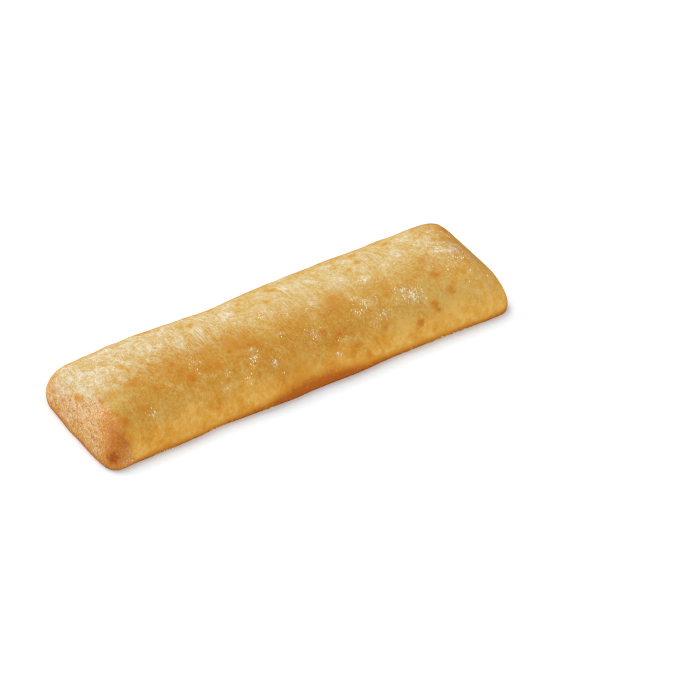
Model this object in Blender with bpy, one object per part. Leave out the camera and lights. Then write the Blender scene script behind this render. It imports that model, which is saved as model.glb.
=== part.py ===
"""Top half of a sandwich ciabatta, sliced level through the crumb and lying on its cut face.

Metres, +Z up. X runs along the loaf and Y across it. The cut face lies on Z = 0, and the
origin is in the middle of it. The crust and the crumb are one piece of bread.
"""

import math
import random

import bmesh
import bpy
from mathutils import Euler, Matrix, Vector, noise

# Driving dimensions
LENGTH = 0.270
WIDTH = 0.0835
HEIGHT = 0.0305  # cut face to crown
END_RUN = 0.031  # length of the slope from the level crown down to each end
TUCK = 0.0011  # how far the side turns in under its widest line
TUCK_HEIGHT = 0.0075  # height of that widest line above the cut
CORNER_POWER = 6.3  # squareness of the plan's corners: 2 is an ellipse
CROWN_POWER = 2.6  # flatness of the crown: 2 is an ellipse
BOW = 0.0026  # how far the loaf's middle lies behind its two ends
BOW_POWER = 6  # how evenly that bend is held along the middle

# Handmade unevenness: the soft swells of the dough, as (x, y, rise, reach)
SWELLS = (
    (-0.112, 0.004, 0.0016, 0.020),
    (-0.116, -0.040, -0.0010, 0.014),
    (-0.086, 0.032, 0.0008, 0.018),
    (-0.062, -0.026, -0.0019, 0.022),
    (-0.024, 0.036, -0.0018, 0.021),
    (-0.022, 0.004, 0.0009, 0.022),
    (0.018, -0.012, 0.0008, 0.022),
    (0.046, 0.012, -0.0009, 0.020),
    (0.062, -0.036, -0.0004, 0.018),
    (0.090, 0.030, -0.0006, 0.018),
    (0.092, 0.000, 0.0010, 0.022),
)
# The smaller lumps between the swells, as (rise, size, where in the noise they are read)
RIPPLES = ((0.0007, 0.026, (0, 0, 0)), (0.00035, 0.0113, (7, 3, 5)))

# Mesh steps over the dome
END_STEPS = 7
LEVEL_STEPS = 54
CROSS_STEPS = 24
SHARP_ANGLE = math.radians(50)  # an edge that turns more than this isn't shaded smooth

# Crumb: open pores in the cut face, as (how many, least radius, largest radius)
PORE_CLASSES = ((13, 0.0032, 0.0052), (40, 0.0019, 0.0031), (52, 0.0011, 0.0018))
PORE_SEED = 41
PORE_RIM = 0.0035  # crumb left between a pore and the crust
PORE_WALL = 0.0007  # crumb left between two pores
PORE_STRETCH = 1.5  # longest pore against its width
PORE_DEPTH = (0.65, 1.05)  # depth of a pore against its narrow radius
PORE_SINK = 0.22  # how much of that depth the pore's centre lies below the cut
PORE_RAGGED = 0.35  # how far a pore's wall may fall short of its ellipsoid
PORE_SIDES = 8
PORE_RINGS = 6
PORE_TRIES = 4000  # places tried for each class

# Each surface as (colour, roughness)
CRUST = ((0.62, 0.34, 0.085, 1.0), 0.55)
CRUMB = ((0.78, 0.66, 0.42, 1.0), 0.85)


def material(name, colour, roughness):
    made = bpy.data.materials.new(name)
    made.use_nodes = True
    shader = made.node_tree.nodes["Principled BSDF"]
    shader.inputs["Base Color"].default_value = colour
    shader.inputs["Roughness"].default_value = roughness
    shader.inputs["Metallic"].default_value = 0.0
    made.diffuse_color = colour
    return made


def across_steps():
    """Signed ring numbers from one long side to the other: 1 at the sides, 0 on the crown."""
    rings = []
    for i in range(CROSS_STEPS + 1):
        turn = (2 * i / CROSS_STEPS - 1) * math.pi / 2
        ring = abs(math.sin(turn)) ** (2 / CROWN_POWER)
        rings.append(math.copysign(ring, turn))
    return rings


def along_steps():
    """(x where the level crown is, signed ring number past it) from one end to the other."""
    level = LENGTH / 2 - END_RUN
    slope = []
    for i in range(END_STEPS):
        turn = (1 - i / END_STEPS) * math.pi / 2
        slope.append(math.sin(turn) ** (2 / CROWN_POWER))
    middle = [level * (2 * i / LEVEL_STEPS - 1) for i in range(LEVEL_STEPS + 1)]
    return (
        [(-level, -ring) for ring in slope]
        + [(x, 0.0) for x in middle]
        + [(level, ring) for ring in reversed(slope)]
    )


def dome_point(level_x, end_ring, side_ring):
    """A point of the plain dome and the direction that faces out of it there."""
    ring = max(abs(end_ring), abs(side_ring))
    norm = (abs(end_ring) ** CORNER_POWER + abs(side_ring) ** CORNER_POWER) ** (1 / CORNER_POWER)
    squeeze = ring / norm if norm else 0.0
    end, side = end_ring * squeeze, side_ring * squeeze
    rise = math.sqrt(max(0.0, 1 - ring**CROWN_POWER))
    point = Vector((level_x + END_RUN * end, WIDTH / 2 * side, HEIGHT * rise))
    outward = Vector(
        (
            math.copysign(abs(end) ** (CORNER_POWER - 1) / END_RUN, end),
            math.copysign(abs(side) ** (CORNER_POWER - 1) / (WIDTH / 2), side),
            0.0,
        )
    )
    if outward.length:
        outward.normalize()
    flat = math.sqrt(1 - rise * rise)
    return point, (outward * flat + Vector((0, 0, rise))).normalized()


def unevenness(point):
    """How far the handmade surface stands proud of the plain dome."""
    total = 0.0
    for x, y, rise, reach in SWELLS:
        away = math.hypot(point.x - x, point.y - y) / reach
        total += rise * math.exp(-away * away)
    for rise, size, place in RIPPLES:
        total += rise * noise.noise(point / size + Vector(place))
    return total


def bow(x):
    """How far back the bend of the loaf carries what lies at x."""
    return BOW * (1 - min(1.0, abs(x) / (LENGTH / 2)) ** BOW_POWER)


def crust_point(level_x, end_ring, side_ring):
    point, outward = dome_point(level_x, end_ring, side_ring)
    on_rim = point.z == 0.0
    moved = point + outward * unevenness(point)
    moved.y += bow(point.x)
    if moved.z < TUCK_HEIGHT:
        under = 1 - max(moved.z, 0.0) / TUCK_HEIGHT
        moved -= Vector((outward.x, outward.y, 0)) * TUCK * under * under
    if on_rim:
        moved.z = 0.0
    return moved


def loaf_mesh():
    """The dome as a grid of quads, closed underneath by one flat face."""
    columns, rows = along_steps(), across_steps()
    work = bmesh.new()
    grid = [[work.verts.new(crust_point(x, end, side)) for side in rows] for x, end in columns]
    for near, far in zip(grid, grid[1:]):
        for j in range(len(rows) - 1):
            work.faces.new((near[j], far[j], far[j + 1], near[j + 1]))
    front = [column[0] for column in grid]
    back = [column[-1] for column in grid]
    rim = front[::-1] + grid[0][1:-1] + back + grid[-1][-2:0:-1]
    cut = work.faces.new(rim)
    cut.material_index = 1
    mesh = bpy.data.meshes.new("ciabatta_top_half")
    work.normal_update()
    bmesh.ops.recalc_face_normals(work, faces=work.faces)
    work.to_mesh(mesh)
    work.free()
    return mesh


def inside_cut(x, y, reach):
    """True if a pore of this reach leaves the crumb's rim whole."""
    level = LENGTH / 2 - END_RUN
    end = max(0.0, abs(x) - level + reach + PORE_RIM) / END_RUN
    side = (abs(y) + reach + PORE_RIM) / (WIDTH / 2)
    return end**CORNER_POWER + side**CORNER_POWER < 1


def crumb_pores():
    """The open pores as (x, y, long radius, narrow radius, depth, turn), largest first."""
    draw = random.Random(PORE_SEED)
    pores = []
    for count, least, largest in PORE_CLASSES:
        placed = 0
        for _ in range(PORE_TRIES):
            if placed == count:
                break
            narrow = draw.uniform(least, largest)
            long = narrow * draw.uniform(1.0, PORE_STRETCH)
            x = draw.uniform(-LENGTH / 2, LENGTH / 2)
            y = draw.uniform(-WIDTH / 2, WIDTH / 2)
            depth = narrow * draw.uniform(*PORE_DEPTH)
            turn = draw.uniform(0, math.pi)
            clear = all(math.hypot(x - p[0], y - p[1]) > long + p[2] + PORE_WALL for p in pores)
            if clear and inside_cut(x, y, long):
                pores.append((x, y, long, narrow, depth, turn))
                placed += 1
    return pores


def pore_cutter():
    """One mesh of uneven ellipsoids, each reaching up into the crumb from just below the cut."""
    work = bmesh.new()
    for index, (x, y, long, narrow, depth, turn) in enumerate(crumb_pores()):
        place = (
            Matrix.Translation((x, y + bow(x), -PORE_SINK * depth))
            @ Euler((0, 0, turn)).to_matrix().to_4x4()
            @ Matrix.Diagonal((long, narrow, depth, 1))
        )
        ball = bmesh.ops.create_uvsphere(
            work, u_segments=PORE_SIDES, v_segments=PORE_RINGS, radius=1
        )
        apart = Vector((2 * index, 0, 0))  # each pore reads its own part of the noise
        for vert in ball["verts"]:
            lump = 0.5 + 0.5 * noise.noise(vert.co + apart)
            vert.co = place @ (vert.co * (1 - PORE_RAGGED * lump))
    mesh = bpy.data.meshes.new("pore_cutter")
    work.to_mesh(mesh)
    work.free()
    return mesh


def to_origin(mesh):
    """The move that brings the middle of the mesh's cut face to the origin."""
    points = [v.co for v in mesh.vertices]
    middle = [(min(p[axis] for p in points) + max(p[axis] for p in points)) / 2 for axis in (0, 1)]
    return Matrix.Translation((-middle[0], -middle[1], 0))


def main():
    for old in list(bpy.data.objects):
        bpy.data.objects.remove(old)
    bread = bpy.data.collections.new("ciabatta")
    helpers = bpy.data.collections.new("cutters")
    bpy.context.scene.collection.children.link(bread)
    bpy.context.scene.collection.children.link(helpers)

    crust = material("ciabatta_crust", *CRUST)
    crumb = material("ciabatta_crumb", *CRUMB)
    loaf_data, cutter_data = loaf_mesh(), pore_cutter()
    move = to_origin(loaf_data)
    loaf_data.transform(move)
    cutter_data.transform(move)

    cutter = bpy.data.objects.new("pore_cutter", cutter_data)
    cutter.data.materials.append(crumb)
    cutter.hide_render = True
    cutter.display_type = "WIRE"
    helpers.objects.link(cutter)

    loaf = bpy.data.objects.new("ciabatta_top_half", loaf_data)
    loaf.data.materials.append(crust)
    loaf.data.materials.append(crumb)
    loaf.data.shade_smooth()
    loaf.data.set_sharp_from_angle(angle=SHARP_ANGLE)
    bread.objects.link(loaf)
    cut = loaf.modifiers.new("open_crumb", "BOOLEAN")
    cut.operation = "DIFFERENCE"
    cut.solver = "EXACT"
    cut.object = cutter


main()
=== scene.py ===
import math
import random
from functools import partial
import bpy
import numpy as np
from mathutils import Matrix, Vector, noise


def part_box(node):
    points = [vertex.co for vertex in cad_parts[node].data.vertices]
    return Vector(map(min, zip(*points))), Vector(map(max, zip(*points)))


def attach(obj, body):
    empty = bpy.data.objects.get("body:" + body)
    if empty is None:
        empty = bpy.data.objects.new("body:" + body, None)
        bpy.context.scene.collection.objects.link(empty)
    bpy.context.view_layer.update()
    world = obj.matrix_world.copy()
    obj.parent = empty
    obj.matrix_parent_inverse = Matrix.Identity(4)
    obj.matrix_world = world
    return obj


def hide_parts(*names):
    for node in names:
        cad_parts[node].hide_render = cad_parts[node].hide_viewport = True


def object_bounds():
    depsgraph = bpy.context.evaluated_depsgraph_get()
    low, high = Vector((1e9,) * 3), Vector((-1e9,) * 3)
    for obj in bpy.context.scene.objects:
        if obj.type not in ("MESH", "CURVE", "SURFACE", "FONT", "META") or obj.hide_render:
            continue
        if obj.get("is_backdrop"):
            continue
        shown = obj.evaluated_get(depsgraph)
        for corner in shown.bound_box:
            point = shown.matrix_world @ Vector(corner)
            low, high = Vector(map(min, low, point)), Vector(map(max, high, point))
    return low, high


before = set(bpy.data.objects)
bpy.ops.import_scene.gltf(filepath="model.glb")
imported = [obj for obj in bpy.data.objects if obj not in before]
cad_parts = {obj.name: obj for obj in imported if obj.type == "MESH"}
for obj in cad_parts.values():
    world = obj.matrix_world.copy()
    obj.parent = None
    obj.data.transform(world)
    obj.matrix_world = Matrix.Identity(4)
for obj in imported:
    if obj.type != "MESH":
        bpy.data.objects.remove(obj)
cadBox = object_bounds()
cadLow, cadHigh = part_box("ciabatta_top_half")
scene = bpy.context.scene
mm = 0.001
tiny = 1e-12  # keeps a division by nothing away
fineSteps = 2000  # points along a curve whose length is measured
print("frame loaded")


def setInputs(tree, node, inputs):
    # inputs hold plain values, outputs, or nodes whose first output is meant, by a socket's name or
    # number: Map Range has its range at 1 and 2 and what that becomes at 3 and 4, and a colour Mix
    # has its colours at 6 and 7 and gives output 2
    for socket, value in inputs.items():
        if isinstance(value, bpy.types.Node):
            value = value.outputs[0]
        if isinstance(value, bpy.types.NodeSocket):
            tree.links.new(value, node.inputs[socket])
        else:
            node.inputs[socket].default_value = value


def addNode(tree, kind, settings=None, inputs=None):
    node = tree.nodes.new(kind)
    for name, value in (settings or {}).items():
        setattr(node, name, value)
    setInputs(tree, node, inputs or {})
    return node


def addObject(name, data):
    made = bpy.data.objects.new(name, data)
    scene.collection.objects.link(made)
    return made


def linear(hexColour):
    # sRGB hex to the linear colour that Blender works in
    channels = [int(hexColour[i : i + 2], 16) / 255 for i in (1, 3, 5)]
    return [c / 12.92 if c <= 0.04045 else ((c + 0.055) / 1.055) ** 2.4 for c in channels] + [1.0]


def per(size):
    # the noise scale whose features are this many millimetres wide
    return 1 / (size * mm)


def setRamp(ramp, stops):
    points = ramp.color_ramp.elements
    while len(points) < len(stops):
        points.new(0.5)
    for point, (place, hexColour) in zip(points, stops):
        point.position = place
        point.color = linear(hexColour)


# camera: the photograph's view, from the front left, by a long lens

camera = {
    "azimuth": -32.503,  # degrees from the front, where less than nothing is to the left
    "elevation": 39.623,  # degrees above the floor
    "distance": 2.2,  # metres
    "right": 0.040846,  # how far it stands to one side of the line to the middle, and above it
    "up": 0.000514,
    "lens": 198.52,  # millimetres, as the sensor
    "sensor": 36,
}


def makeCamera(c):
    turn, rise = math.radians(c["azimuth"]), math.radians(c["elevation"])
    back = Vector((math.sin(turn) * math.cos(rise), -math.cos(turn) * math.cos(rise), math.sin(rise)))
    right = Vector((math.cos(turn), math.sin(turn), 0))
    up = back.cross(right)
    data = bpy.data.cameras.new("photoCamera")
    data.lens = c["lens"]
    data.sensor_width = c["sensor"]
    made = addObject("photoCamera", data)
    made.location = back * c["distance"] + right * c["right"] + up * c["up"]
    made.rotation_euler = Matrix((right, up, back)).transposed().to_euler()
    scene.camera = made


makeCamera(camera)
print("camera set")

# the bread: one closed piece, a fine dome of crust over the sliced crumb

bread = {
    "length": 0.270,  # metres, before the swells of the dough
    "width": 0.0835,
    "height": 0.0305,
    "endRun": 0.031,  # slope from the level crown down to each end
    "tuck": 0.0011,  # how far the side turns in below its widest line
    "tuckHeight": 0.0075,
    "cornerPower": 6.3,  # squareness of the plan's corners: 2 is an ellipse
    "crownPower": 2.6,  # flatness of the crown, likewise
    "bow": 0.0026,  # how far the loaf's middle lies behind its two ends
    "bowPower": 6,
    "levelSteps": 226,
    "endSteps": 52,
    "crossSteps": 144,
    "rimSteps": 14,  # rings of crumb cells that slide to meet the crust
    "rimPull": 6,  # how soon the rim's swells fade inside the cut face
}

# soft swells of the dough, as (x, y, rise, reach) in metres
swells = (
    (-0.112, 0.004, 0.0016, 0.02), (-0.116, -0.04, -0.001, 0.014), (-0.086, 0.032, 0.0008, 0.018),
    (-0.062, -0.026, -0.0019, 0.022), (-0.024, 0.036, -0.0018, 0.021), (-0.022, 0.004, 0.0009, 0.022),
    (0.018, -0.012, 0.0008, 0.022), (0.046, 0.012, -0.0009, 0.02), (0.062, -0.036, -0.0004, 0.018),
    (0.09, 0.03, -0.0006, 0.018), (0.092, 0, 0.001, 0.022),
)
# smaller lumps, as (rise, size, where in the noise they are read)
ripples = ((0.0007, 0.026, (0, 0, 0)), (0.00035, 0.0113, (7, 3, 5)))


def noiseAt(points, size, place=(0, 0, 0)):
    shift = Vector(place)
    flat = (points / size).reshape(-1, 3)
    values = [noise.noise(Vector(p) + shift) for p in flat]
    return np.array(values).reshape(points.shape[:-1])


def ease(value, low, high):
    t = np.clip((value - low) / (high - low), 0, 1)
    return t * t * (3 - 2 * t)


def evenTurns(run, rise, power, steps):
    # turns from the crown (0) to the rim (pi / 2) at even distances along the curve
    turn = np.linspace(0, math.pi / 2, fineSteps)
    flat, up = run * np.sin(turn) ** (2 / power), rise * np.cos(turn)
    walked = np.concatenate([[0], np.cumsum(np.hypot(np.diff(flat), np.diff(up)))])
    return np.interp(np.linspace(0, walked[-1], steps + 1), walked, turn)


def domeGrid(b):
    # (x of the level crown, end ring, side ring) at each point of the dome's grid
    power = b["crownPower"]
    level = b["length"] / 2 - b["endRun"]
    slope = np.sin(evenTurns(b["endRun"], b["height"], power, b["endSteps"])) ** (2 / power)
    side = np.sin(evenTurns(b["width"] / 2, b["height"], power, b["crossSteps"] // 2)) ** (2 / power)
    across = np.concatenate([-side[:0:-1], side])
    middle = np.linspace(-level, level, b["levelSteps"] + 1)
    x = np.concatenate([np.full(b["endSteps"], -level), middle, np.full(b["endSteps"], level)])
    end = np.concatenate([-slope[:0:-1], np.zeros(len(middle)), slope[1:]])
    return np.broadcast_arrays(x[:, None], end[:, None], across[None, :])


def cutGrid(b, shape):
    # the same, spread evenly over the cut face
    level = b["length"] / 2 - b["endRun"]
    x = np.linspace(-b["length"] / 2, b["length"] / 2, shape[0])[:, None]
    end = np.sign(x) * np.maximum(0, abs(x) - level) / b["endRun"]
    side = np.linspace(-1, 1, shape[1])[None, :]
    return np.broadcast_arrays(np.clip(x, -level, level), end, side)


def placeOn(b, x, endRing, sideRing):
    # a point of the plain dome, and the direction that faces out of it
    p, q = b["cornerPower"], b["crownPower"]
    ring = np.maximum(abs(endRing), abs(sideRing))
    norm = (abs(endRing) ** p + abs(sideRing) ** p) ** (1 / p)
    squeeze = np.where(norm > 0, ring / np.maximum(norm, tiny), 0)
    end, side = endRing * squeeze, sideRing * squeeze
    rise = np.sqrt(np.maximum(0, 1 - ring**q))
    point = np.stack([x + b["endRun"] * end, b["width"] / 2 * side, b["height"] * rise], -1)
    outX = np.sign(end) * abs(end) ** (p - 1) / b["endRun"]
    outY = np.sign(side) * abs(side) ** (p - 1) / (b["width"] / 2)
    size = np.maximum(np.hypot(outX, outY), tiny)
    flat = np.sqrt(1 - rise * rise)
    outward = np.stack([outX / size * flat, outY / size * flat, rise], -1)
    return point, outward / np.linalg.norm(outward, axis=-1, keepdims=True)


def unevenness(point):
    total = np.zeros(point.shape[:-1])
    for x, y, rise, reach in swells:
        away = np.hypot(point[..., 0] - x, point[..., 1] - y) / reach
        total += rise * np.exp(-away * away)
    for rise, size, place in ripples:
        total += rise * noiseAt(point, size, place)
    return total


def bowAt(b, x):
    return b["bow"] * (1 - np.minimum(1, abs(x) / (b["length"] / 2)) ** b["bowPower"])


def domeSurface(b, x, endRing, sideRing):
    plain, outward = placeOn(b, x, endRing, sideRing)
    ring = np.maximum(abs(endRing), abs(sideRing))
    moved = plain + outward * unevenness(plain)[..., None]
    moved[..., 1] += bowAt(b, plain[..., 0])
    under = np.clip(1 - np.maximum(moved[..., 2], 0) / b["tuckHeight"], 0, 1)
    moved[..., :2] -= outward[..., :2] * (b["tuck"] * under * under)[..., None]
    moved[..., 2][ring >= 1] = 0
    return moved, ring


def cutSurface(b, x, endRing, sideRing):
    plain, outward = placeOn(b, x, endRing, sideRing)
    ring = np.maximum(abs(endRing), abs(sideRing))
    plain[..., 2] = 0
    flat = outward[..., :2] / np.maximum(np.linalg.norm(outward[..., :2], axis=-1, keepdims=True), tiny)
    push = (unevenness(plain) - b["tuck"]) * ring ** b["rimPull"]
    moved = plain.copy()
    moved[..., :2] += flat * push[..., None]
    moved[..., 1] += bowAt(b, plain[..., 0])
    return moved, ring


def meetRim(cut, dome, steps):
    # slides the outer cells of the cut along the rim, so that it ends on the dome's own points
    for axis in (0, 1):
        grid, rim = np.moveaxis(cut, axis, 0), np.moveaxis(dome, axis, 0)
        for order in (slice(None), slice(None, None, -1)):
            inner, outer = grid[order], rim[order]
            gap = outer[0] - inner[0]
            for k in range(steps):
                inner[k] += gap * (1 - k / steps) ** 2


def outwardOf(points):
    normal = np.cross(np.gradient(points, axis=0), np.gradient(points, axis=1))
    return normal / np.maximum(np.linalg.norm(normal, axis=-1, keepdims=True), tiny)


dome, domeRing = domeSurface(bread, *domeGrid(bread))
cut, cutRing = cutSurface(bread, *cutGrid(bread, dome.shape))
middle = (dome.min((0, 1)) + dome.max((0, 1))) / 2
toCad = np.array([(cadLow.x + cadHigh.x) / 2 - middle[0], (cadLow.y + cadHigh.y) / 2 - middle[1], 0])
dome += toCad
cut += toCad
meetRim(cut, dome, bread["rimSteps"])
print("dome and cut laid out", dome.shape)

# what marks the crust: places in millimetres, seen from above with the loaf along x

marks = {
    "ragged": 1.5,  # how far a mark's edge wanders, and over what size
    "raggedSize": 3.0,
    "raggedPlaces": ((1, 5, 2), (6, 2, 8), (3, 7, 4)),
    "blisterRise": 0.22,
    # fine folds of the skin, as (rise, size, where in the noise)
    "folds": ((0.16, 7.5, (3, 9, 2)), (0.10, 3.4, (8, 1, 4)), (0.05, 1.8, (5, 6, 1))),
    "rimPower": 24,  # how close to the rim they fade out, so that it stays on the cut
}

# brown blisters where the skin has caught, as (x, y, reach, how brown), and its height on a steep side
blisters = (
    (-97, 40, 2.2, 0.7, 15), (-34, 41, 1.8, 0.85, 12), (13, 40, 1.7, 0.9, 17), (58, 41, 2, 0.8, 13),
    (133, 6, 2.2, 0.75, 11), (131, -12, 1.8, 0.85, 15), (130, 23, 2, 0.7, 17), (-128.8, 3.4, 2.2, 0.7),
    (-127.9, -0.6, 2, 0.7), (-117.3, -30.4, 2.6, 0.8), (-115, -13.8, 2.2, 0.4), (-105.4, -27.9, 2.8, 0.5),
    (-102, -13.5, 2.4, 0.6), (-100, 2.1, 2.4, 0.5), (-92.3, -20.7, 1.9, 0.6), (-74.4, -8.5, 1.7, 0.7),
    (-71, 29, 2.2, 0.85), (-69.1, -20.7, 2.3, 1.1), (-51.6, -19.8, 2.4, 0.55), (-48.8, 14.9, 2.2, 0.9),
    (-15.4, 17.8, 1.5, 0.7), (-1.6, 8.4, 1.7, 0.75), (5.3, 19.9, 2.2, 0.7), (7.2, 17.4, 1.8, 1.1),
    (14, -26.6, 1.9, 1), (22.1, -30, 2, 0.9), (31.5, -7.9, 3, 0.65), (50.9, -34.1, 1.6, 0.6),
    (54.3, 9.6, 1.5, 0.85), (60.6, -19.8, 2, 0.6), (61.8, 13.7, 1.8, 0.85), (64.3, 22.4, 2.1, 0.9),
    (72.8, -37.3, 1.9, 1), (84.3, 20, 2.2, 0.8), (84.9, -32.9, 1.8, 1), (85.2, -35.6, 1.6, 0.8),
    (97.1, -30.4, 2.4, 0.7), (122, 14, 4, 0.6),
)


def spots(points, places):
    # the summed strength of soft marks (x, y, reach, strength) over the surface; one on a steep
    # side also gives its height
    jog = [noiseAt(points, marks["raggedSize"] * mm, place) for place in marks["raggedPlaces"]]
    ragged = points + np.stack(jog, -1) * marks["ragged"] * mm
    total = np.zeros(points.shape[:-1])
    for x, y, reach, strength, *height in places:
        away = np.hypot(points[..., 0] - x * mm, points[..., 1] - y * mm)
        for z in height:
            away = away + abs(points[..., 2] - z * mm)
        centre = points[np.unravel_index(np.argmin(away), away.shape)]
        total += strength * np.exp(-((np.linalg.norm(ragged - centre, axis=-1) / (reach * mm)) ** 2))
    return total


relief = marks["blisterRise"] * spots(dome, blisters)
for rise, size, place in marks["folds"]:
    relief += rise * noiseAt(dome, size * mm, place)
relief *= 1 - domeRing ** marks["rimPower"]
dome += outwardOf(dome) * (relief * mm)[..., None]
print("crust relief done")

# the crumb: the solid's pores, with finer ones between them

crumb = {
    # pores, as (how many, least radius, largest radius) in metres
    "classes": ((13, 0.0032, 0.0052), (40, 0.0019, 0.0031), (52, 0.0011, 0.0018)),
    "seed": 41,
    "rim": 0.0035,  # crumb left between a pore and the crust
    "wall": 0.0007,  # crumb left between two pores
    "stretch": 1.5,  # longest pore against its width
    "depth": (0.65, 1.05),  # depth of a pore against its narrow radius
    "sink": 0.22,  # how much of that depth its centre lies below the cut
    "ragged": 0.35,  # how far its wall may fall short of its ellipsoid
    "wallHeight": 0.7,  # height on the wall at which that is read
    "tries": 4000,  # places tried for each class
    "fine": (2400, 0.0005, 0.0021),  # the finer pores, which may run into each other
    "fineDepth": (1.0, 1.7),
    "finePower": 2,  # the higher, the fewer are large
    "fineSeed": 7,
    "torn": ((1.0, 2.4), (0.5, 1.2)),  # how far a pore's edge is torn, and over what size, in millimetres
    "tornPlaces": ((3, 8, 5), (7, 1, 9)),
    # the sponge between them, as (rise, size, where in the noise)
    "sponge": ((0.60, 3.0, (2, 4, 6)), (0.40, 1.5, (9, 1, 3))),
    "wholeRim": (0.2, 1.6),  # millimetres from the crust where pores and sponge start, and are full
    # painted shade: deeper in a pore the crumb turns darker and yellower
    "shaded": (0.0002, 0.0022),  # the depths between which it turns to the colour inside a pore
}


def insideCut(b, c, x, y, reach):
    # whether a pore of this reach leaves the rim of the crumb whole
    level = b["length"] / 2 - b["endRun"]
    end = max(0.0, abs(x) - level + reach + c["rim"]) / b["endRun"]
    side = (abs(y) + reach + c["rim"]) / (b["width"] / 2)
    return end ** b["cornerPower"] + side ** b["cornerPower"] < 1


def solidPores(b, c):
    # the same draws as the solid's own pores
    draw = random.Random(c["seed"])
    found = []
    for count, least, largest in c["classes"]:
        placed = 0
        for _ in range(c["tries"]):
            if placed == count:
                break
            narrow = draw.uniform(least, largest)
            long = narrow * draw.uniform(1.0, c["stretch"])
            x = draw.uniform(-b["length"] / 2, b["length"] / 2)
            y = draw.uniform(-b["width"] / 2, b["width"] / 2)
            depth = narrow * draw.uniform(*c["depth"])
            turn = draw.uniform(0, math.pi)
            clear = all(math.hypot(x - p[0], y - p[1]) > long + p[2] + c["wall"] for p in found)
            if clear and insideCut(b, c, x, y, long):
                found.append((x, y, long, narrow, depth, turn))
                placed += 1
    return found


def finePores(b, c):
    draw = random.Random(c["fineSeed"])
    count, least, largest = c["fine"]
    found = []
    while len(found) < count:
        narrow = least + (largest - least) * draw.random() ** c["finePower"]
        long = narrow * draw.uniform(1.0, c["stretch"])
        x = draw.uniform(-b["length"] / 2, b["length"] / 2)
        y = draw.uniform(-b["width"] / 2, b["width"] / 2)
        if insideCut(b, c, x, y, long - c["rim"] / 2):
            depth = narrow * draw.uniform(*c["fineDepth"])
            found.append((x, y, long, narrow, depth, draw.uniform(0, math.pi)))
    return found


def poreDepths(b, c, points):
    # how far up into the crumb the open pores reach at each point of the cut
    x = points[..., 0] - toCad[0]
    y = points[..., 1] - toCad[1] - bowAt(b, x)
    for far, size in c["torn"]:
        jog = [far * mm * noiseAt(points, size * mm, place) for place in c["tornPlaces"]]
        x, y = x + jog[0], y + jog[1]
    depths = np.zeros(x.shape)
    for index, (px, py, long, narrow, deep, turn) in enumerate(solidPores(b, c) + finePores(b, c)):
        near = np.hypot(x - px, y - py) < long
        if not near.any():
            continue
        along = (x[near] - px) * math.cos(turn) + (y[near] - py) * math.sin(turn)
        across = (y[near] - py) * math.cos(turn) - (x[near] - px) * math.sin(turn)
        ball = np.stack([along / long, across / narrow, np.full(along.shape, c["wallHeight"])], -1)
        facing = ball / np.linalg.norm(ball, axis=-1, keepdims=True)
        lump = 0.5 + 0.5 * noiseAt(facing, 1, (2 * index, 0, 0))
        size = 1 - c["ragged"] * lump
        up = np.sqrt(np.maximum(0, size**2 - ball[..., 0] ** 2 - ball[..., 1] ** 2)) - c["sink"]
        depths[near] = np.maximum(depths[near], deep * up)
    return depths


fromRim = (1 - cutRing) * bread["width"] / 2 / mm  # millimetres of crumb out to the crust
pores = poreDepths(bread, crumb, cut)
sponge = sum(rise * abs(noiseAt(cut, size * mm, place)) for rise, size, place in crumb["sponge"])
cut[..., 2] = (pores + sponge * mm) * ease(fromRim, *crumb["wholeRim"])
print("crumb relief done")


def closedMesh(name, dome, cut):
    # crust and cut share the points of the rim
    along, across = dome.shape[:2]
    domeIds = np.arange(along * across).reshape(along, across)
    cutIds = domeIds.copy()
    inner = cutIds[1:-1, 1:-1]
    inner[:] = along * across + np.arange(inner.size).reshape(inner.shape)
    quads = []
    for ids, order in ((domeIds, 1), (cutIds, -1)):
        corners = [ids[:-1, :-1], ids[1:, :-1], ids[1:, 1:], ids[:-1, 1:]][::order]
        quads.append(np.stack([c.ravel() for c in corners], -1))
    points = np.concatenate([dome.reshape(-1, 3), cut[1:-1, 1:-1].reshape(-1, 3)])
    mesh = bpy.data.meshes.new(name)
    mesh.from_pydata(points.tolist(), [], np.concatenate(quads).tolist())
    mesh.polygons.foreach_set("material_index", np.repeat([0, 1], [len(q) for q in quads]))
    mesh.shade_smooth()
    return mesh


def paint(mesh, name, onDome, onCut):
    # one value a point, which a material or a node tree reads by this name
    values = np.concatenate([onDome.ravel(), onCut[1:-1, 1:-1].ravel()])
    attribute = mesh.attributes.new(name, "FLOAT", "POINT")
    attribute.data.foreach_set("value", values.astype(np.float32))


breadMesh = closedMesh("ciabattaBread", dome, cut)
breadPiece = addObject("ciabattaBread", breadMesh)
print("bread mesh", len(breadMesh.polygons), "faces")

# how baked and how floury the crust is, and where shade is painted on it, as one value a point for each

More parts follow.
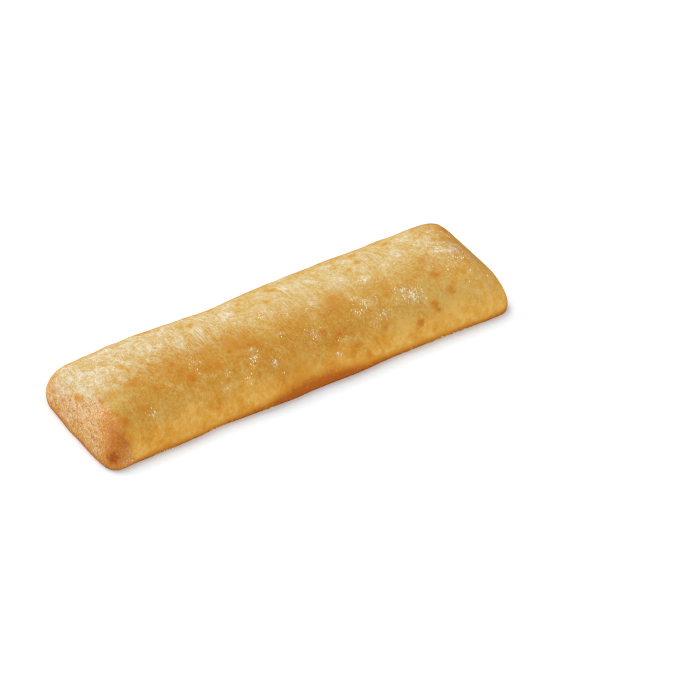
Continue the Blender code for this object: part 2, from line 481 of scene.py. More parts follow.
tones = {
    # the middle of the slow change from the floury crown to the golden front, as (x, y) in millimetres
    "flourLine": (
        (-135, 0), (-124, -12), (-112, -11), (-100, -6), (-86, -2), (-60, -1), (-38, -2), (-20, -8),
        (0, -7), (60, -6), (90, -6), (112, -10), (135, -8),
    ),
    "flourSoft": 13,  # half the width of that change
    "flourBack": (22, 40),  # where it fades down the back
    "flourStart": (-136, -127),  # and at the two ends of the loaf
    "flourEnd": (97, 125),
    "lowCrust": (10, 25),  # the heights between which the golden side grows into the rest
    # how brown the lower edge is, as (x, strength), and how high that goes at strengths of 0 and 1
    "rimBake": (
        (-135, 0.6), (-120, 0.2), (-104, 0.5), (-88, 0.4), (-70, 0.2), (-50, 0.4), (-28, 0.8), (-14, 1.4),
        (10, 1.35), (30, 0.85), (50, 0.45), (120, 0.35), (135, 0.6),
    ),
    "rimHeights": (3.0, 12.5),
    # where the tan left end meets the rest of the crust, as (y, x)
    "endLine": (
        (-42, -118), (-36, -119.5), (-30, -120.5), (-15, -121.5), (0, -127), (10, -129.5), (35, -131.5),
    ),
    "endSoft": 1.6,
    "filmLine": (-95, -55),  # the thicker film of flour on the left fades out between these x
    "netLine": (-46, -30),  # and its net between these
    "wander": 3.0,  # how far these edges wander
    "waves": ((1.0, 0.013, (4, 4, 1)), (0.5, 0.005, (2, 8, 5))),  # share, size in metres, where in the noise
    "tornSize": 2.2,  # the left end's line is also torn
    "tornPlace": (5, 1, 7),
    "endWander": 0.5,  # how much of the wandering and of the tearing that line takes
    "endTorn": 0.7,
    "rimWander": 0.2,  # and the lower edge, of the wandering
    "patchSize": 8,  # patches where flour lies thicker
    "patchPlace": (1, 6, 3),
    "patchContrast": 1.3,
    "cornerClear": (0.03, 0.25),  # how brown the near corner is where flour thins out, and is gone
    "cornerSpecks": (0.1, 0.8),  # likewise for its pale specks
    "rimBrown": (0.56, 0.7),  # the least brown of the lower edge, and what rimBake adds
    "patchBrown": 0.85,  # the baked patches against the corner
    "most": 1.2,  # the most that any value is painted
}
# how thick the flour lies, and its marks
flourCover = {
    "film": 0.10,  # the least on the crown, and what the left and the patches add
    "leftFilm": 0.12,
    "patchFilm": 0.32,
    "filmPower": 1.5,  # how soon it thins out from the crown
    "blotches": 0.55,
    "clusters": 0.25,
    "end": 0.16,
    "blisterBare": 0.8,  # the share that a blister loses
    "leftNet": 0.5,  # the net on the left, and elsewhere, and what the patches add there
    "net": 0.05,
    "patchNet": 0.12,
    "clusterDashes": 0.8,
    "flourDashes": 0.9,
    "endDashes": 0.2,
    "endStreaks": 0.8,
    "crownStreaks": 0.5,
    "crownPits": 0.7,
    "endPits": 0.5,
    "mostPits": 0.8,
}

# flour left in soft blotches, as (x, y, reach, strength)
flourBlotches = (
    (-119, 1, 11, 0.32), (-27.3, 10.9, 5, 0.8), (-19.8, 20.9, 4, 0.8), (13.1, 16.8, 2.5, 0.8),
    (17.8, 27.8, 3, 0.8), (29.6, 14, 3, 0.8), (42, 5, 5, 0.7), (44.6, 23.4, 3.5, 0.8), (74, 0.3, 4, 0.8),
    (56.5, 19.6, 3, 0.7), (66, 18.4, 4, 0.7), (85, 6.5, 5, 0.6), (94.6, 19, 5, 0.7), (-72, 14, 9, 0.2),
    (-92, 17, 9, 0.2), (114, -12, 7, 0.35), (118, 19, 8, 0.4), (-129, 19, 10, 0.42),
)
# flour flecks: clusters of dry crumbs of flour, as (x, y, reach, strength)
fleckClusters = (
    (-49.1, -26.6, 2, 1), (-99.8, -32, 2, 1), (-32.6, -24.8, 3, 1), (-29.1, -22.9, 3, 0.8),
    (-40, -32.5, 2.5, 0.8), (-21, -30.4, 2, 1), (7.8, -25.4, 3.5, 0.9), (17.8, -36.6, 2.5, 1),
    (41.2, -14.1, 2.5, 1), (47.1, -19.3, 3, 0.9), (52.4, -18.5, 2.5, 1), (53.4, -28.5, 3, 0.9),
    (55.3, -3.5, 4, 1), (69.5, -21.5, 5, 0.9), (75, -26, 5, 0.9), (72.1, -24.1, 2.2, 0.8),
    (107.1, -2.3, 4, 0.9), (-61.6, -12.3, 3, 0.6), (-63.2, -20, 1.5, 0.6), (-53.2, -32, 2, 0.6),
    (-106, 0.3, 1.5, 0.6), (-81.6, -19.8, 1.5, 0.6), (-77.9, -23.2, 1.5, 0.5), (-18.5, -36, 1.5, 0.6),
    (-8.2, -18.5, 1.8, 0.7), (22.8, -32.3, 2.5, 0.6), (20.3, -18.5, 2.5, 0.6), (30.9, -34, 2, 0.6),
    (39.6, -22.3, 3, 0.6), (45.9, -32.3, 2, 0.6), (2.8, -7, 2, 0.6), (17.8, -7.3, 3, 0.6),
    (-8.5, 2, 3, 0.7), (-12.9, -2.3, 2, 0.6), (79.6, -30.4, 2, 0.6), (90.3, -30, 1.3, 0.6),
    (82.8, -5.4, 3, 0.6), (105.3, 5.3, 4, 0.7), (114, -10.4, 6, 0.5), (120.9, -19, 2, 0.5),
    (94.6, -14.8, 3, 0.6), (61.5, -9, 1.5, 0.6), (54.6, 13.4, 1.5, 0.6), (113, 14, 6, 0.35),
    (122, 9, 4, 0.35), (106, -13, 7, 0.3), (118, -27, 6, 0.35),
)

# the near left corner, which the oven has browned, as (x, y, reach, strength, height)
cornerPatches = (
    (-130.4, -38, 3.2, 0.66, 9), (-128.5, -40, 6, 0.35, 3), (-123, -38.8, 6, 0.3, 11),
    (-119.5, -37, 4, 0.1, 14.5), (-131, -34, 8, 0.2, 9), (-126, -36.5, 6, 0.22, 15),
    (-121.5, -34, 5, 0.14, 18), (-124.5, -32.5, 7, 0.16, 19), (-125, -29, 7.5, 0.24, 21),
    (-124, -23.5, 6, 0.13, 25),
)
# darker, well baked patches elsewhere, as (x, y, reach, strength), and its height on a steep side
bakedPatches = (
    (-102, -24, 9, 0.12), (-76, -10, 15, 0.14), (-58, -12, 12, 0.16), (-37, -12, 8, 0.36),
    (-24, -18, 8, 0.12), (-6, -14, 8, 0.12), (4, -18, 6, 0.08), (30, -10, 6, 0.3), (24, -24, 10, 0.1),
    (-8, -37, 14, 0.25), (94, -7, 4, 0.45), (94, -19.4, 3.2, 0.7), (120, -28, 9, 0.18),
    (131, -36, 5, 0.42, 7),
)
# painted shade: a duller brown along the far end's edge, where it turns away from the light, likewise
endShadePlaces = (
    (124, 17, 4.5, 0.3), (124, 9, 4.5, 0.3), (124, 1, 4.5, 0.25), (124, -7, 4.5, 0.25),
    (124, -15, 4.5, 0.3), (125, -23, 4.5, 0.3), (128, -30, 4, 0.3), (121, -20, 8, 0.2),
    (120, -5, 10, 0.38),
)
# paler patches of the golden front, likewise
palePatches = (
    (76, -18, 26, 0.35), (50, -24, 12, 0.15), (-114, -20, 8, 0.75), (-15, -9, 9, 0.2), (15, -16, 9, 0.25),
    (44, -15, 8, 0.25), (-6, -29, 10, 0.15), (-96, -33, 10, 0.2), (106, -22, 12, 0.3),
)
# patches as bright and as golden as the side, likewise
sidePatches = ((108, -24, 9, 0.2), (115, -34, 6, 0.4))
# where the front and side are brightest, likewise
goldenPatches = (
    (-84, -36, 16, 0.7), (-50, -35, 10, 0.3), (62, -33, 15, 0.7), (84, -30, 15, 0.9), (104, -33, 14, 0.9),
    (124, -34, 14, 1),
)
# where the knife has left a thin edge of crumb, as (x, y, reach, strength, height)
crumbEdges = (
    (88, -41, 15, 0.75, 0), (62, -41, 6, 0.4, 0), (-30, -41, 5, 0.4, 0), (-66, -41, 7, 0.4, 0),
    (-99, -41, 8, 0.7, 0), (30, 42, 14, 0.8, 0), (-50, 42, 10, 0.7, 0), (134, 10, 10, 0.7, 0),
)
# where flour lies in curls past the net of the left half, as (x, y, reach, strength)
curledPatches = ((112, -6, 12, 0.35), (117, -33, 8, 0.25), (100, 12, 10, 0.35))
# where a brush has left fine lines in the flour, likewise
brushedPatches = (
    (-45, 6, 12, 0.75), (16, 8, 14, 0.8), (-60, 3, 8, 0.6), (70, 14, 16, 0.5), (-124, 8, 10, 0.4),
    (-127, -8, 8, 0.6),
)


def fade(value, low, high):
    return 1 - ease(value, low, high)


def crustTones(points, t, f):
    # what the crust is at each point, and its painted shade, in values from 0 to about 1
    x, y, z = np.moveaxis(points / mm, -1, 0)
    wander = t["wander"] * sum(share * noiseAt(points, size, place) for share, size, place in t["waves"])
    torn = t["wander"] * noiseAt(points, t["tornSize"] * mm, t["tornPlace"])
    patches = noiseAt(points, t["patchSize"] * mm, t["patchPlace"])
    patchy = np.clip(0.5 + t["patchContrast"] * patches, 0, 1)
    scorch = spots(points, blisters)
    corner = spots(points, cornerPatches)
    clusters = spots(points, fleckClusters)

    # the floury crown, the tan left end, the golden side and the browned lower edge
    line = np.interp(x, *zip(*t["flourLine"]))
    crown = ease(y + wander, line - t["flourSoft"], line + t["flourSoft"])
    crown *= fade(y + wander, *t["flourBack"])
    crown *= ease(x + wander, *t["flourStart"]) * fade(x + wander, *t["flourEnd"])
    endLine = np.interp(y, *zip(*t["endLine"])) + t["endWander"] * wander + t["endTorn"] * torn
    warm = fade(x, endLine - t["endSoft"], endLine + t["endSoft"])
    low = np.maximum(fade(z + wander, *t["lowCrust"]), spots(points, sidePatches))
    rimBake = np.interp(x, *zip(*t["rimBake"]))
    rimLow, rimHigh = t["rimHeights"]
    rim = fade(z + t["rimWander"] * wander, 0, rimLow + (rimHigh - rimLow) * rimBake)
    leastBrown, moreBrown = t["rimBrown"]

    # flour, where the crust isn't browned
    takesFlour = fade(corner, *t["cornerClear"]) * (1 - rim)
    film = f["film"] + f["leftFilm"] * fade(x, *t["filmLine"]) + f["patchFilm"] * patchy
    dust = crown ** f["filmPower"] * film + f["blotches"] * spots(points, flourBlotches)
    dust += f["clusters"] * clusters + f["end"] * warm
    dust *= 1 - f["blisterBare"] * np.clip(scorch, 0, 1)
    leftNet = f["leftNet"] * fade(x + wander, *t["netLine"])
    net = crown * np.maximum(leftNet, f["net"] + f["patchNet"] * patchy)
    dashes = f["flourDashes"] * dust + f["endDashes"] * warm
    return {
        "dust": dust * takesFlour,
        "sprinkle": f["clusterDashes"] * clusters + dashes * takesFlour,
        "pale": crown + spots(points, palePatches),
        "low": low,
        "golden": spots(points, goldenPatches),
        "bake": rim * (leastBrown + moreBrown * rimBake),
        "caught": corner + t["patchBrown"] * spots(points, bakedPatches),
        # painted shade, a duller brown along the far end's edge
        "dulled": spots(points, endShadePlaces),
        "cutEdge": spots(points, crumbEdges),
        "warm": warm,
        "specked": warm * fade(corner, *t["cornerSpecks"]),
        "scorch": scorch,
        "brushed": spots(points, brushedPatches),
        "netted": (net + spots(points, curledPatches)) * takesFlour,
        "whisked": np.maximum(f["endStreaks"] * warm, f["crownStreaks"] * crown) * takesFlour,
        "pocked": np.clip(f["crownPits"] * crown + f["endPits"] * warm, 0, f["mostPits"]),
    }


crust = crustTones(dome, tones, flourCover)
noneOnDome, noneOnCut = np.zeros(domeRing.shape), np.zeros(cutRing.shape)
for name, values in crust.items():
    paint(breadMesh, name, np.clip(values, 0, tones["most"]), noneOnCut)
# painted shade in the pores, darker the deeper they go
paint(breadMesh, "pore", noneOnDome, ease(cut[..., 2], *crumb["shaded"]))
paint(breadMesh, "fromRim", noneOnDome, fromRim)
print("crust tones painted")

# materials

crustFinish = {
    # each part of the crust, from its darkest to its palest
    "front": ("#b67426", "#bb8232", "#be8e3f", "#c29a50"),
    "crown": ("#c29646", "#c7a154", "#caa961", "#ccb272"),
    "side": ("#cd862d", "#d6973b", "#dca54b", "#e2b35d"),
    "end": ("#c27e3a", "#cd8f4a", "#d39c59", "#d9ad71"),
    "speck": "#dcb880",  # pale specks all over the left end
    "rampStops": (0.39, 0.46, 0.54, 0.61),
    "amber": "#cd852e",  # the well baked lower edge
    "rust": "#ae5c1f",
    "orange": ("#bd7c27", "#b96b28"),  # where the skin has caught, on the golden crust and on the tan end
    "brown": "#9c5118",
    # painted shade along the far end's edge, a duller brown
    "paintedEndShade": "#ae8748",
    "halo": ("#be7c2e", "#cb9a45"),  # round a blister, on the front and on the paler crown
    "blister": ("#b96e2a", "#ca8d34"),
    "pit": "#c49748",  # where the flour has missed a dimple
    "flour": "#ddd4bd",
    "crumbLine": "#e2c98f",
    # patterns, by their sizes in millimetres, which the noises' detail follows
    "noises": {"patch": (10.0, 3), "blotch": (4.2, 3), "mottle": (1.9, 2), "grain": (0.8, 0)},
    "noiseRoughness": 0.6,
    "drawn": (1.0, 0.8, 0.8),  # fine grain is drawn out across the loaf, as the dough was brushed
    "strokes": {"comb": (0.5, 15.0, 11.0), "whisk": (0.7, 6.0, 4.4)},
    "cells": {"crackle": 4.6, "vein": 9.5},
    "cellBend": (3.2, 3.0),  # the size of what bends their edges, and how far
    "curlSize": 2.8,
    "dots": {"pitCell": (2.3, 2.3, 2.3), "dashCell": (1.0, 1.8, 1.8)},
    "slant": 8,  # degrees, of the strokes and dashes
    # patterns added up, as (start, weight of each)
    "blends": {
        "broad": (0, {"patch": 0.25, "blotch": 0.30, "mottle": 0.23, "grain": 0.22, "golden": 0.09}),
        "soft": (0, {"patch": 0.38, "blotch": 0.30, "mottle": 0.21, "grain": 0.11, "golden": 0.09}),
        "close": (0, {"blotch": 0.28, "mottle": 0.36, "grain": 0.36}),
        "cover": (-0.60, {"dust": 1.0, "blotch": 0.5, "mottle": 0.40, "grain": 0.30}),
        "clotted": (-1.16, {"dust": 0.45, "grain": 0.9, "mottle": 0.9}),
        "ragged": (-1.3, {"grain": 2.0, "mottle": 1.8, "blotch": 0.8}),
        "even": (0.1, {"grain": 0.6, "mottle": 1.2}),
        "crackled": (0.30, {"crackle": 1.0, "blotch": -0.6}),
        "veined": (0.35, {"vein": 1.0, "blotch": -0.7}),
        "curled": (0.16, {"curl": 1.0, "mottle": -0.32}),
        "pitted": (0.45, {"pitCell": 1.0, "blotch": -0.9}),
        "dashed": (-0.62, {"sprinkle": 0.28, "blotch": 0.9, "mottle": 0.5, "dashCell": -1.0}),
    },
    # marks read from those, as (blend, where it starts, where it is full, how much of it)
    "marks": {
        "film": ("cover", 0.05, 1.0, 0.40),
        "clots": ("clotted", 0.0, 0.08, 1.0),
        "net": ("crackled", 0.05, 0.0, 1.0),
        "veins": ("veined", 0.07, 0.0, 1.0),
        "curls": ("curled", 0.016, 0.0, 1.0),
        "pits": ("pitted", 0.26, 0.10, 0.7),
        "lines": ("comb", 0.55, 0.62, 1.0),
        "streaks": ("whisk", 0.55, 0.63, 1.0),
        "specks": ("grain", 0.54, 0.64, 0.56),
        "dashes": ("dashed", -0.03, 0.06, 1.0),
    },
    # flour that lies in such marks, as (mark, painted on where, how thick)
    "floury": (
        ("clots", "dust", 0.26),
        ("veins", "netted", 0.46),
        ("net", "netted", 0.40),
        ("curls", "netted", 0.20),
        ("lines", "brushed", 0.70),
        ("streaks", "whisked", 0.42),
        ("dashes", "sprinkle", 0.80),
    ),
    # browned skin, and painted shade along the far end, as (painted on where, torn by which blend, where it
    # starts, where it is full, how much)
    "browned": {
        "amber": ("bake", "even", 0.08, 0.60, 0.95),
        "rust": ("bake", "even", 0.50, 1.05, 0.90),
        # painted shade along the far end's edge
        "paintedEndShade": ("dulled", "ragged", 0.10, 0.60, 0.80),
        "orange": ("caught", "ragged", 0.10, 0.55, 0.95),
        "brown": ("caught", "ragged", 0.60, 1.00, 0.95),
        "halo": ("scorch", "ragged", 0.05, 0.36, 0.75),
        "blister": ("scorch", "ragged", 0.32, 0.78, 0.88),
    },
    "crumbLineHeight": 1.9,
    "crumbLineTorn": (0.40, 0.60),  # the grain at which that line is gone, and at its full height
    "roughness": (0.50, 0.85),  # of bare crust, and of floury crust
    "chalky": 0.7,  # how thick the flour is there
    "bumpStrength": 0.7,
    "bumpHeight": 0.13,
}


def newMaterial(name):
    made = bpy.data.materials.new(name)
    made.use_nodes = True
    return made, made.node_tree, made.node_tree.nodes["Principled BSDF"]


def crustMaterial(c):
    # oven-baked wheat crust under a thin film of flour: dry and matt, and chalkier under flour
    made, tree, shader = newMaterial("bakedCiabattaCrust")
    add = partial(addNode, tree)
    place = add("ShaderNodeTexCoord").outputs["Object"]
    # everything that a mark can be read from, first the tones painted on the mesh
    on = {
        name: add("ShaderNodeAttribute", {"attribute_name": name}).outputs["Fac"]
        for name in crust
    }
    turn = (0, 0, math.radians(c["slant"]))
    drawn = add("ShaderNodeMapping", {}, {"Vector": place, "Rotation": turn, "Scale": c["drawn"]})
    for name, (size, detail) in c["noises"].items():
        on[name] = add("ShaderNodeTexNoise", {}, {
            "Vector": drawn, "Scale": per(size), "Detail": detail, "Roughness": c["noiseRoughness"],
        }).outputs["Fac"]

    # what the brush left across the loaf: long lines, short streaks, pits and dashes
    for kind, sizes, output in (
        ("ShaderNodeTexNoise", c["strokes"], "Fac"),
        ("ShaderNodeTexVoronoi", c["dots"], "Distance"),
    ):
        for name, size in sizes.items():
            stretched = add("ShaderNodeMapping", {}, {
                "Vector": place, "Rotation": turn, "Scale": tuple(per(side) for side in size),
            })
            on[name] = add(kind, {}, {"Vector": stretched, "Scale": 1}).outputs[output]

    # a net along the folds of the dough, and curls where a bent noise crosses its middle
    size, far = c["cellBend"]
    bend = add("ShaderNodeTexNoise", {}, {"Vector": place, "Scale": per(size), "Detail": 2})
    bent = add("ShaderNodeVectorMath", {"operation": "MULTIPLY_ADD"}, {
        0: bend.outputs["Color"], 1: (far * mm, far * mm, far * mm), 2: place,
    })
    for name, size in c["cells"].items():
        on[name] = add("ShaderNodeTexVoronoi", {"feature": "DISTANCE_TO_EDGE"}, {
            "Vector": bent, "Scale": per(size),
        }).outputs["Distance"]
    wave = add("ShaderNodeTexNoise", {}, {"Vector": bent, "Scale": per(c["curlSize"])})
    away = add("ShaderNodeMath", {"operation": "SUBTRACT"}, {0: wave.outputs["Fac"], 1: 0.5})
    on["curl"] = add("ShaderNodeMath", {"operation": "ABSOLUTE"}, {0: away})

    for name, (total, weights) in c["blends"].items():
        for source, weight in weights.items():
            total = add("ShaderNodeMath", {"operation": "MULTIPLY_ADD"}, {
                0: on[source], 1: weight, 2: total,
            })
        on[name] = total
    for name, (source, start, full, most) in c["marks"].items():
        on[name] = add("ShaderNodeMapRange", {}, {0: on[source], 1: start, 2: full, 4: most})

    # the baked skin: each part of the crust has its own tones, and grows into the next
    skins = {}
    for name, tone in (("front", "broad"), ("crown", "close"), ("side", "soft"), ("end", "close")):
        ramp = add("ShaderNodeValToRGB", {}, {0: on[tone]})
        setRamp(ramp, tuple(zip(c["rampStops"], c[name])))
        skins[name] = ramp
    missed, specked = (
        add("ShaderNodeMath", {"operation": "MULTIPLY"}, {0: on[mark], 1: on[where]})
        for mark, where in (("pits", "pocked"), ("specks", "specked"))
    )

    # baked patches, blisters and the painted shade along the far end, ragged and mottled
    masks = {}
    for name, (where, torn, start, full, most) in c["browned"].items():
        mottled = add("ShaderNodeMath", {"operation": "MULTIPLY"}, {0: on[where], 1: on[torn]})
        masks[name] = add("ShaderNodeMapRange", {}, {0: mottled, 1: start, 2: full, 4: most})
    orangeColour, haloColour, blisterColour = (
        add("ShaderNodeMix", {"data_type": "RGBA"}, {
            0: on[where], 6: linear(c[name][0]), 7: linear(c[name][1]),
        }).outputs[2]
        for name, where in (("orange", "warm"), ("halo", "pale"), ("blister", "pale"))
    )

    # flour: a thin film, thicker where it was drawn into marks, and none in the pits
    flour = on["film"]
    for mark, where, thick in c["floury"]:
        here = add("ShaderNodeMath", {"operation": "MULTIPLY"}, {0: on[mark], 1: on[where]})
        flour = add("ShaderNodeMath", {"operation": "MULTIPLY_ADD", "use_clamp": True}, {
            0: here, 1: thick, 2: flour,
        })

    # the thin pale line of crumb where the knife left the crust
    height = add("ShaderNodeSeparateXYZ", {}, {0: place}).outputs["Z"]
    gone, whole = c["crumbLineTorn"]
    lineTop = add("ShaderNodeMapRange", {}, {
        0: on["grain"], 1: gone, 2: whole, 3: 0, 4: c["crumbLineHeight"] * mm,
    })
    raggedTop = add("ShaderNodeMath", {"operation": "MULTIPLY"}, {0: lineTop, 1: on["cutEdge"]})
    crumbLine = add("ShaderNodeMath", {"operation": "LESS_THAN"}, {0: height, 1: raggedTop})

    shade = skins["front"]
    for factor, colour in (
        (on["pale"], skins["crown"]),
        (on["low"], skins["side"]),
        (on["warm"], skins["end"]),
        (masks["amber"], linear(c["amber"])),
        (masks["rust"], linear(c["rust"])),
        # painted shade along the far end's edge
        (masks["paintedEndShade"], linear(c["paintedEndShade"])),
        (masks["orange"], orangeColour),
        (specked, linear(c["speck"])),
        (masks["brown"], linear(c["brown"])),
        (flour, linear(c["flour"])),
        (missed, linear(c["pit"])),
        (masks["halo"], haloColour),
        (masks["blister"], blisterColour),
        (crumbLine, linear(c["crumbLine"])),
    ):
        mix = add("ShaderNodeMix", {"data_type": "RGBA"}, {0: factor, 6: shade, 7: colour})
        shade = mix.outputs[2]
    bare, chalky = c["roughness"]
    rough = add("ShaderNodeMapRange", {}, {0: flour, 1: 0, 2: c["chalky"], 3: bare, 4: chalky})
    bump = add("ShaderNodeBump", {}, {
        "Strength": c["bumpStrength"], "Distance": c["bumpHeight"] * mm, "Height": on["close"],
    })
    setInputs(tree, shader, {
        "Base Color": shade, "Roughness": rough, "Specular IOR Level": 0, "Normal": bump,
    })
    return made


crumbFinish = {
    "cream": "#e3d7ba",
    "deep": "#d6c49c",
    "creamStops": (0.42, 0.58),  # where its patches are deep, and where they are cream
    # painted shade inside the pores, and inside the pinpricks that are too fine for the mesh
    "poreShadeColour": "#bf9148",
    "pitShadeColour": "#c9a96c",
    "crustEdge": "#b9823c",
    # noises, as (size in millimetres, detail)
    "patches": (6.0, 4),
    "sponge": (1.3, 3),
    "bend": (1.25, 1),
    "pitSize": 2.5,  # the smallest pores, which are too fine for the mesh
    "pitReach": (0.44, 0.14),  # where a pit starts and where it is full, in its own sizes
    "pitted": (0.42, 0.62),  # the sponge that has pits, and that is full of them
    "edge": (0.66, 1.65),  # how far in the cut crust is whole, and gone, in millimetres
    "edgeSponge": (0.3, 0.7),  # the sponge where this edge is widest, and narrowest
    "edgeWander": 0.7,
    "roughness": 0.9,
    "bumpStrength": 0.7,
    "bumpHeight": 0.45,
}


def crumbMaterial(c):
    # open wheat crumb, torn by the knife: matt and cream, with painted shade inside its pores, darker and
    # yellower deeper in, which go on down to pinpricks, with the crust's own edge round it
    made, tree, shader = newMaterial("openWheatCrumb")
    add = partial(addNode, tree)
    place = add("ShaderNodeTexCoord").outputs["Object"]
    patches, sponge, bend = (
        add("ShaderNodeTexNoise", {}, {"Vector": place, "Scale": per(size), "Detail": detail})
        for size, detail in (c["patches"], c["sponge"], c["bend"])
    )
    pore, fromRim = (
        add("ShaderNodeAttribute", {"attribute_name": name}).outputs["Fac"]
        for name in ("pore", "fromRim")
    )
    base = add("ShaderNodeValToRGB", {}, {0: patches.outputs["Fac"]})
    setRamp(base, tuple(zip(c["creamStops"], (c["deep"], c["cream"]))))

    # pinprick pores with torn edges, thick in some places and few in others, each darkened by painted shade
    torn = add("ShaderNodeVectorMath", {"operation": "MULTIPLY_ADD"}, {
        0: bend.outputs["Color"], 1: (c["pitSize"] * mm,) * 3, 2: place,
    })
    cells = add("ShaderNodeTexVoronoi", {}, {"Vector": torn, "Scale": per(c["pitSize"])})
    pit = add("ShaderNodeMapRange", {}, {
        0: cells.outputs["Distance"], 1: c["pitReach"][0], 2: c["pitReach"][1],
    })
    holed = add("ShaderNodeMapRange", {}, {0: sponge.outputs["Fac"], 1: c["pitted"][0], 2: c["pitted"][1]})
    pits = add("ShaderNodeMath", {"operation": "MULTIPLY"}, {0: pit, 1: holed})

    # the cut crust round the crumb
    low, high = c["edgeSponge"]
    uneven = add("ShaderNodeMapRange", {}, {
        0: sponge.outputs["Fac"], 1: low, 2: high, 3: -c["edgeWander"], 4: c["edgeWander"],
    })
    reach = add("ShaderNodeMath", {"operation": "ADD"}, {0: fromRim, 1: uneven})
    edge = add("ShaderNodeMapRange", {}, {0: reach, 1: c["edge"][0], 2: c["edge"][1], 3: 1, 4: 0})

    shade = base
    # painted shade in the pinpricks and the pores, then the cut crust
    for factor, colour in (
        (pits, c["pitShadeColour"]),
        (pore, c["poreShadeColour"]),
        (edge, c["crustEdge"]),
    ):
        mix = add("ShaderNodeMix", {"data_type": "RGBA"}, {0: factor, 6: shade, 7: linear(colour)})
        shade = mix.outputs[2]
    height = add("ShaderNodeMath", {"operation": "SUBTRACT"}, {0: sponge.outputs["Fac"], 1: pits})
    bump = add("ShaderNodeBump", {}, {
        "Strength": c["bumpStrength"], "Distance": c["bumpHeight"] * mm, "Height": height,
    })
    setInputs(tree, shader, {
        "Base Color": shade, "Roughness": c["roughness"], "Specular IOR Level": 0, "Normal": bump,
    })
    return made


flourFinish = {
    "tints": ((0.35, "#dccda8"), (0.6, "#e8e1cb")),
    "tintSize": 3.0,
    "roughness": 0.95,
    "specular": 0.15,
}


def flourMaterial(c):
    # dry wheat flour baked on in crumbs: chalky and off-white
    made, tree, shader = newMaterial("bakedOnFlour")
    add = partial(addNode, tree)
    place = add("ShaderNodeTexCoord").outputs["Object"]
    tint = add("ShaderNodeTexNoise", {}, {"Vector": place, "Scale": per(c["tintSize"]), "Detail": 2})
    shade = add("ShaderNodeValToRGB", {}, {0: tint.outputs["Fac"]})
    setRamp(shade, c["tints"])
    setInputs(tree, shader, {
        "Base Color": shade, "Roughness": c["roughness"], "Specular IOR Level": c["specular"],
    })
    return made


breadMesh.materials.append(crustMaterial(crustFinish))
breadMesh.materials.append(crumbMaterial(crumbFinish))
print("materials made")

# flecks of flour, scattered over the crust

flecks = {
    "perSquareMillimetre": 1.2,  # in the middle of a cluster, before those too close are left out
    "apart": 1.05,  # millimetres, as the other sizes
    "onFlour": 0.28,  # how many lie on the floury crown, against a cluster's
    "most": 1.5,  # the most where clusters meet, likewise
    "rim": 0.98,  # the ring of the dome that they stop at
    "length": 1.7,
    "width": 0.7,
    "thickness": 0.28,
    "least": 0.3,  # size of the smallest against the largest
    "sizePower": 1.6,  # the higher, the fewer are large
    "ragged": 0.16,
    "raggedSize": 0.5,
    "slant": 14,  # degrees, of the way they were brushed
    "spread": 35,
    "seed": 12,
}

sown = spots(dome, fleckClusters) + flecks["onFlour"] * crust["dust"] ** 2
paint(breadMesh, "sown", np.clip(sown, 0, flecks["most"]) * (domeRing < flecks["rim"]), noneOnCut)


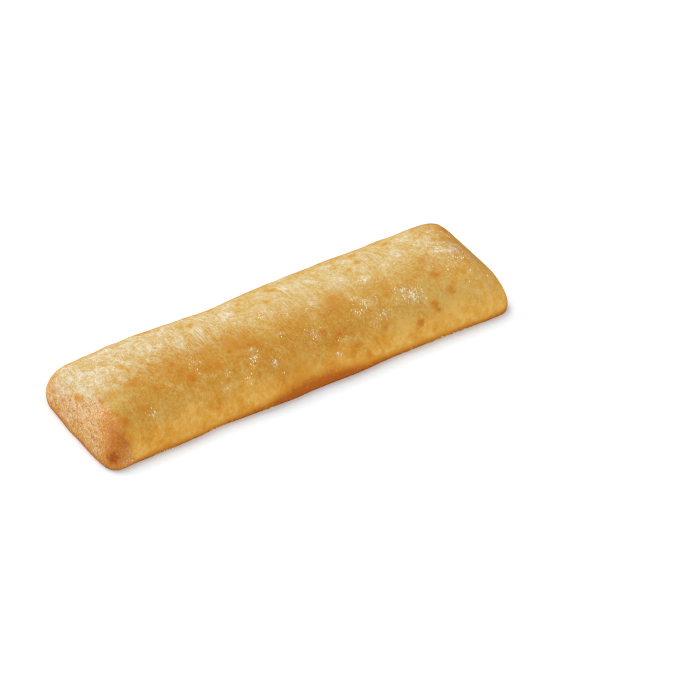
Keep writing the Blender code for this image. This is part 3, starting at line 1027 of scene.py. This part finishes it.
def fleckTree(f, material):
    # small flat flakes that lie on the crust, turned about the way they were brushed
    tree = bpy.data.node_groups.new("flourFlecks", "GeometryNodeTree")
    add = partial(addNode, tree)
    sockets = {"Geometry": "NodeSocketGeometry", "Seed": "NodeSocketInt"}
    sockets.update({name: "NodeSocketFloat" for name in ("Density", "Apart", "Length", "Width", "Thickness")})
    for name, kind in sockets.items():
        tree.interface.new_socket(name, in_out="INPUT", socket_type=kind)
    tree.interface.new_socket("Geometry", in_out="OUTPUT", socket_type="NodeSocketGeometry")
    given = add("NodeGroupInput").outputs
    sown = add("GeometryNodeInputNamedAttribute", {"data_type": "FLOAT"}, {"Name": "sown"})
    points = add("GeometryNodeDistributePointsOnFaces", {"distribute_method": "POISSON"}, {
        "Mesh": given["Geometry"], "Distance Min": given["Apart"], "Density Max": given["Density"],
        "Density Factor": sown, "Seed": given["Seed"],
    })
    brushed = (math.sin(math.radians(f["slant"])), math.cos(math.radians(f["slant"])), 0)
    upright = add("FunctionNodeAlignRotationToVector", {"axis": "Z"}, {"Vector": points.outputs["Normal"]})
    along = add("FunctionNodeAlignRotationToVector", {"axis": "X", "pivot_axis": "Z"}, {
        "Rotation": upright, "Vector": brushed,
    })
    spread = math.radians(f["spread"])
    spin = add("FunctionNodeRandomValue", {"data_type": "FLOAT"}, {2: -spread, 3: spread, "Seed": 1})
    spun = add("ShaderNodeCombineXYZ", {}, {"Z": spin.outputs[1]})
    turned = add("FunctionNodeRotateRotation", {"rotation_space": "LOCAL"}, {0: along, 1: spun})
    grown = add("FunctionNodeRandomValue", {"data_type": "FLOAT"}, {2: 0.0, 3: 1.0, "Seed": 2})
    fewLarge = add("ShaderNodeMath", {"operation": "POWER"}, {0: grown.outputs[1], 1: f["sizePower"]})
    size = add("ShaderNodeMapRange", {}, {0: fewLarge, 3: f["least"], 4: 1.0})

    # one flake, a ball of width 1 pressed flat, on every point, and then all of them made ragged
    flake = add("GeometryNodeMeshIcoSphere", {}, {"Radius": 0.5, "Subdivisions": 1})
    shape = add("ShaderNodeCombineXYZ", {}, {
        "X": given["Length"], "Y": given["Width"], "Z": given["Thickness"],
    })
    flat = add("GeometryNodeTransform", {}, {"Geometry": flake, "Scale": shape})
    scattered = add("GeometryNodeInstanceOnPoints", {}, {
        "Points": points.outputs["Points"], "Instance": flat,
        "Rotation": turned, "Scale": size,
    })
    real = add("GeometryNodeRealizeInstances", {}, {"Geometry": scattered})
    where = add("GeometryNodeInputPosition")
    jog = add("ShaderNodeTexNoise", {}, {"Vector": where, "Scale": per(f["raggedSize"]), "Detail": 0})
    centred = add("ShaderNodeVectorMath", {"operation": "SUBTRACT"}, {
        0: jog.outputs["Color"], 1: (0.5, 0.5, 0.5),
    })
    small = add("ShaderNodeVectorMath", {"operation": "SCALE"}, {0: centred, "Scale": 2 * f["ragged"] * mm})
    moved = add("GeometryNodeSetPosition", {}, {"Geometry": real, "Offset": small})
    dressed = add("GeometryNodeSetMaterial", {}, {"Geometry": moved, "Material": material})
    add("NodeGroupOutput", {}, {0: dressed})
    return tree


def scatterFlecks(f, onto):
    tree = fleckTree(f, flourMaterial(flourFinish))
    sower = addObject("fleckSower", onto.data)
    modifier = sower.modifiers.new("flourFlecks", "NODES")
    modifier.node_group = tree
    settings = {name: f[name.lower()] * mm for name in ("Apart", "Length", "Width", "Thickness")}
    settings.update({"Density": f["perSquareMillimetre"] / mm**2, "Seed": f["seed"]})
    for item in tree.interface.items_tree:
        if item.in_out == "INPUT" and item.name in settings:
            modifier[item.identifier] = settings[item.name]
    evaluated = sower.evaluated_get(bpy.context.evaluated_depsgraph_get())
    mesh = bpy.data.meshes.new_from_object(evaluated)
    bpy.data.objects.remove(sower)
    mesh.name = "ciabattaFlour"
    return addObject("ciabattaFlour", mesh)


flourPiece = scatterFlecks(flecks, breadPiece)
print("flour flecks", len(flourPiece.data.polygons), "faces")

# floor and light: a white sweep under a broad soft light from above and behind

studio = {
    "floorSize": 12.0,  # metres, as the lights' sizes and places
    "floorDrop": 0.0001,  # so that the cut face doesn't lie in the floor's own plane
    "floorColour": "#f1f7fc",
    "floorRoughness": 0.9,
    "floorSpecular": 0.1,
    "world": 0.78,
    "keyPower": 92.0,  # watts
    "keySize": 2.4,
    "keyPlace": (-0.5, 2.0, 3.6),
    "fillPower": 22.0,
    "fillSize": 3.0,
    "fillPlace": (-1.6, -3.8, 1.1),
    "pixelFilter": 1.0,  # pixels; the grain of the crust needs a sharp lens
}


def areaLight(name, place, size, power):
    data = bpy.data.lights.new(name, "AREA")
    data.size = size
    data.energy = power
    made = addObject(name, data)
    made.location = place
    made.rotation_euler = (-Vector(place)).to_track_quat("-Z", "Y").to_euler()


def makeStudio(s):
    half, drop = s["floorSize"] / 2, -s["floorDrop"]
    mesh = bpy.data.meshes.new("studioFloor")
    corners = [(-half, -half, drop), (half, -half, drop), (half, half, drop), (-half, half, drop)]
    mesh.from_pydata(corners, [], [(0, 1, 2, 3)])
    paper, tree, shader = newMaterial("whiteStudioPaper")
    setInputs(tree, shader, {
        "Base Color": linear(s["floorColour"]),
        "Roughness": s["floorRoughness"],
        "Specular IOR Level": s["floorSpecular"],
    })
    mesh.materials.append(paper)
    floor = addObject("studioFloor", mesh)
    floor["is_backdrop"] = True
    areaLight("keyLight", s["keyPlace"], s["keySize"], s["keyPower"])
    areaLight("fillLight", s["fillPlace"], s["fillSize"], s["fillPower"])
    world = bpy.data.worlds.new("studioWorld")
    world.use_nodes = True
    tree = world.node_tree
    setInputs(tree, tree.nodes["Background"], {"Color": (1, 1, 1, 1), "Strength": s["world"]})
    scene.world = world
    scene.view_settings.view_transform = "Standard"
    scene.cycles.filter_width = s["pixelFilter"]


makeStudio(studio)
print("studio lit")

# pieces ride on the body

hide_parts("ciabatta_top_half")
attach(breadPiece, "root")
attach(flourPiece, "root")

size = {
    "cad": [list(corner) for corner in cadBox],
    "visual": [list(corner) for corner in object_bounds()],
}
print("size", size)
